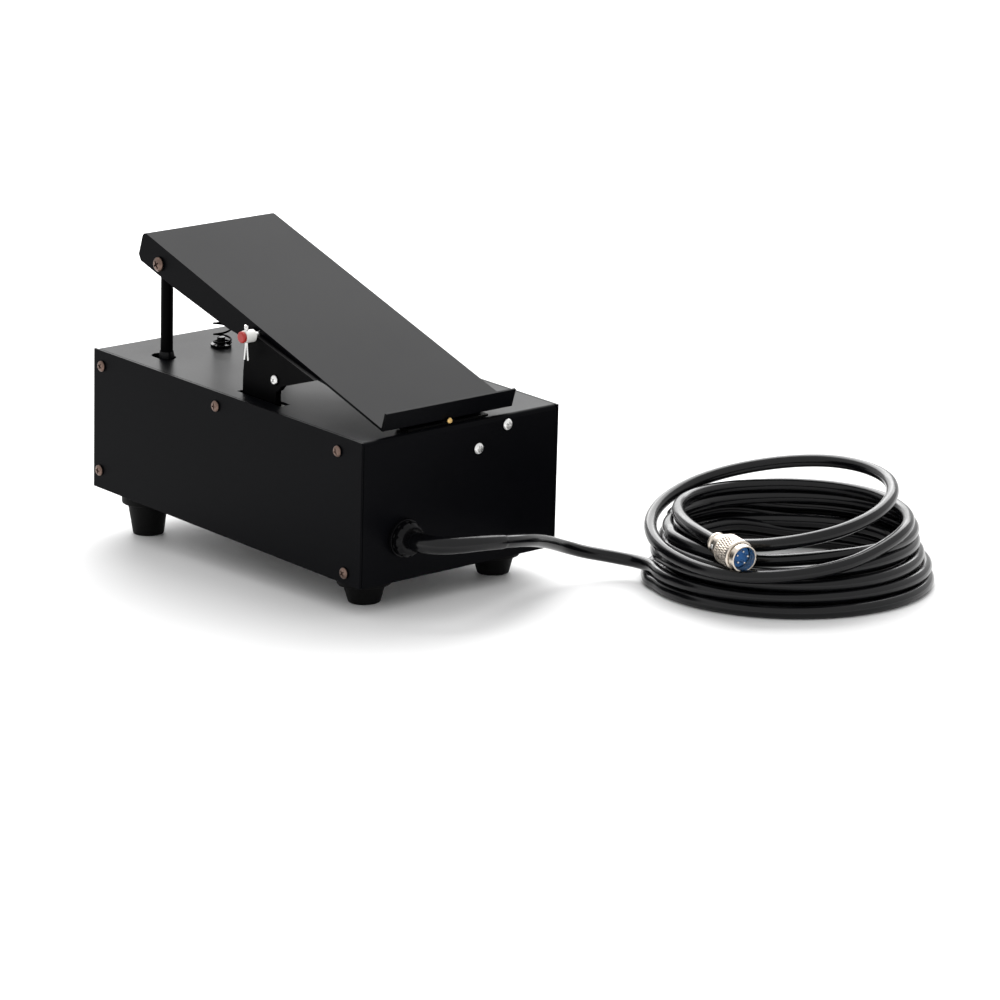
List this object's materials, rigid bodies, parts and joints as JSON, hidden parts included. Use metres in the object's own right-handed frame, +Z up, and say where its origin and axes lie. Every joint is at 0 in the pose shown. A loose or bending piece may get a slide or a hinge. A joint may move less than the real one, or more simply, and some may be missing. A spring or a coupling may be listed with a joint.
{
  "type": "foot pedal control",
  "caption": "Foot pedal control: sheet-metal box on rubber feet, sprung hinged pedal, toothed arm driving a potentiometer, and a coiled lead with a round connector.",
  "frame": {"origin": "on the floor, under the middle of the pedal box", "axes": "+X along the box towards the end where the lead leaves, +Y to the side away from the toothed arm, +Z up"},
  "size_m": [0.4471, 0.3315, 0.1882],
  "materials": {
    "black_paint": "satin black powder coat",
    "black_steel": "blackened steel",
    "rubber": "matt black rubber",
    "black_nylon": "moulded black plastic",
    "screw_steel": "plated steel, slightly warm",
    "bright_steel": "bright steel",
    "yellow_zinc": "yellow zinc",
    "white_nylon": "white moulded plastic",
    "red_plastic": "red moulded plastic",
    "cord_jacket": "satin black jacket",
    "satin_nickel": "satin nickel",
    "blue_insert": "blue moulded plastic"
  },
  "bodies": {
    "box": {"case_shell": "black_paint", "side_plate_near": "black_paint", "side_plate_far": "black_paint", "base_tray": "black_paint", "hinge_base": "black_steel", "return_spring": "black_steel", "foot_rear_near": "rubber", "foot_rear_far": "rubber", "foot_front_near": "rubber", "foot_front_far": "rubber", "up_stop_near": "rubber", "up_stop_far": "rubber", "down_stop": "rubber", "spring_seat": "black_nylon", "limit_switch": "black_nylon", "potentiometer": "black_nylon", "gland_body": "black_nylon", "gland_cap": "black_nylon", "gland_locknut": "black_nylon", "side_screw_rear_top_near": "screw_steel", "side_screw_rear_top_far": "screw_steel", "side_screw_middle_top_near": "screw_steel", "side_screw_middle_top_far": "screw_steel", "side_screw_front_top_near": "screw_steel", "side_screw_front_top_far": "screw_steel", "side_screw_rear_bottom_near": "screw_steel", "side_screw_rear_bottom_far": "screw_steel", "side_screw_front_bottom_near": "screw_steel", "side_screw_front_bottom_far": "screw_steel", "front_screw_lower": "bright_steel", "front_screw_upper": "bright_steel", "hinge_pin": "bright_steel", "pot_bracket": "bright_steel", "pot_nut": "bright_steel", "hinge_screw": "yellow_zinc", "arm_guide": "white_nylon", "terminal_block": "white_nylon", "cord_run": "cord_jacket", "cord_coil": "cord_jacket", "plug_clamp": "satin_nickel", "plug_shell": "satin_nickel", "plug_insert": "blue_insert"},
    "pedal": {"pedal_plate": "black_paint", "sector_arm": "black_steel", "arm_pin": "bright_steel", "arm_pin_sleeve": "white_nylon", "arm_pin_cap": "red_plastic", "arm_screw": "bright_steel", "hinge_leaf": "black_steel", "rod_bolt_near": "screw_steel", "rod_bolt_far": "screw_steel", "spring_cap": "black_nylon"},
    "lift_frame": {"lift_rod_near": "black_steel", "lift_rod_far": "black_steel", "rod_sleeve_near": "black_nylon", "rod_sleeve_far": "black_nylon", "crossbar": "black_steel"},
    "pinion_shaft": {"pinion": "white_nylon"},
    "plunger": {"switch_plunger": "red_plastic"},
    "coupling_ring": {"plug_ring": "satin_nickel"}
  },
  "joints": [
    {"name": "pedal_hinge", "type": "hinge", "parent": "box", "child": "pedal", "pos_m": [0.11797, -0.0077, 0.10752], "axis": [0, -1, 0], "range_deg": [0, 8], "stiffness_Nm_per_rad": 12, "springref_deg": -14.32, "deforming": ["return_spring"]},
    {"name": "rod_pivot", "type": "hinge", "parent": "pedal", "child": "lift_frame", "pos_m": [-0.08403, -0.0077, 0.17154], "axis": [0, 1, 0], "range_deg": [0, 8]},
    {"name": "pinion_spin", "type": "hinge", "parent": "box", "child": "pinion_shaft", "pos_m": [0.00215, -0.0587, 0.07078], "axis": [0, 1, 0], "range_deg": [0, 154]},
    {"name": "plunger_travel", "type": "slide", "parent": "box", "child": "plunger", "axis": [0.0419, 0, 0.9991], "range_m": [0, 0.0008], "stiffness_N_per_m": 300, "springref_m": -0.001},
    {"name": "coupling_ring_spin", "type": "hinge", "parent": "box", "child": "coupling_ring", "pos_m": [0.253, 0.0986, 0.0356], "axis": [0.9739, -0.2159, -0.0698], "continuous": true}
  ],
  "couplings": [
    {"joint": "rod_pivot", "follows": "pedal_hinge", "ratio": 1},
    {"joint": "pinion_spin", "follows": "pedal_hinge", "ratio": 19.25}
  ]
}
